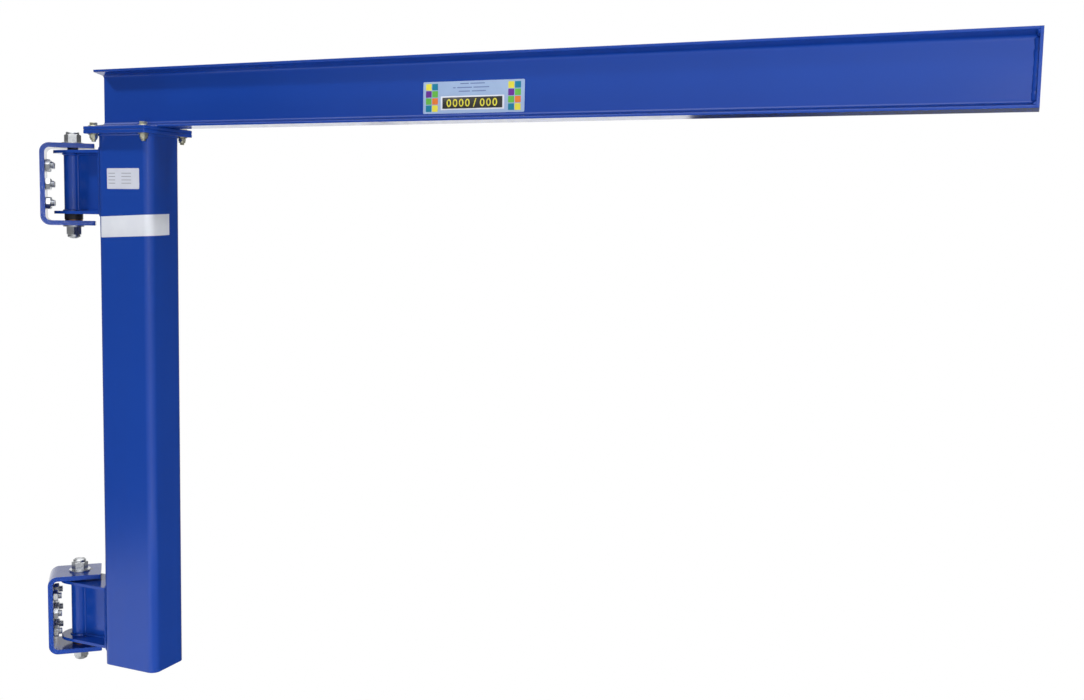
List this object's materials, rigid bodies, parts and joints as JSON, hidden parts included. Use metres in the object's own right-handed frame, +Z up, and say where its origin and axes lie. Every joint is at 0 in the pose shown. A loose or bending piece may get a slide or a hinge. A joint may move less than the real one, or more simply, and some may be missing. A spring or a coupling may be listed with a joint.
{
  "type": "wall-mounted jib crane",
  "caption": "Wall-mounted jib crane: an I-beam boom bolted on a rectangular tube mast that swings on pivot studs in C-shaped wall brackets.",
  "frame": {"origin": "centre of the lower bracket's wall face", "axes": "+Z up, +Y into the wall, X along the wall; the boom reaches out towards -Y"},
  "size_m": [1.6896, 1.92, 1.6434],
  "materials": {
    "blue_paint": "gloss",
    "zinc_plated_steel": "bright zinc plate with a faint yellow tint",
    "black_bearing": "matt black",
    "bronze": "turned bronze"
  },
  "bodies": {
    "wall_mount": {"upper_wall_bracket": "blue_paint", "lower_wall_bracket": "blue_paint", "upper_pivot_stud": "zinc_plated_steel", "lower_pivot_stud": "zinc_plated_steel", "upper_pivot_top_nut": "zinc_plated_steel", "upper_pivot_bottom_nut": "zinc_plated_steel", "lower_pivot_top_nut": "zinc_plated_steel", "lower_pivot_bottom_nut": "zinc_plated_steel", "upper_pivot_top_washer": "zinc_plated_steel", "upper_pivot_bottom_washer": "zinc_plated_steel", "lower_pivot_top_washer": "zinc_plated_steel", "lower_pivot_bottom_washer": "zinc_plated_steel", "upper_thrust_ring": "black_bearing", "lower_thrust_ring": "black_bearing", "upper_bronze_washer": "bronze", "lower_bronze_washer": "bronze", "upper_spacer_washer": "black_bearing", "lower_spacer_washer": "black_bearing"},
    "swing_arm": {"upper_knuckle_top_plate": "blue_paint", "upper_knuckle_bottom_plate": "blue_paint", "lower_knuckle_top_plate": "blue_paint", "lower_knuckle_bottom_plate": "blue_paint", "upper_knuckle_web": "blue_paint", "lower_knuckle_web": "blue_paint", "upper_knuckle_pad": "blue_paint", "lower_knuckle_pad": "blue_paint", "upper_pivot_sleeve": "blue_paint", "lower_pivot_sleeve": "blue_paint", "upper_pivot_bush": "bronze", "lower_pivot_bush": "bronze", "mast_tube": "blue_paint", "mast_top_plate": "blue_paint", "boom_base_plate": "blue_paint", "boom_beam": "blue_paint", "boom_end_plate": "blue_paint"}
  },
  "joints": [
    {"name": "boom_swing", "type": "hinge", "parent": "wall_mount", "child": "swing_arm", "pos_m": [0, -0.08255, 0], "axis": [0, 0, 1], "range_deg": [-38.5, 121.5]}
  ]
}
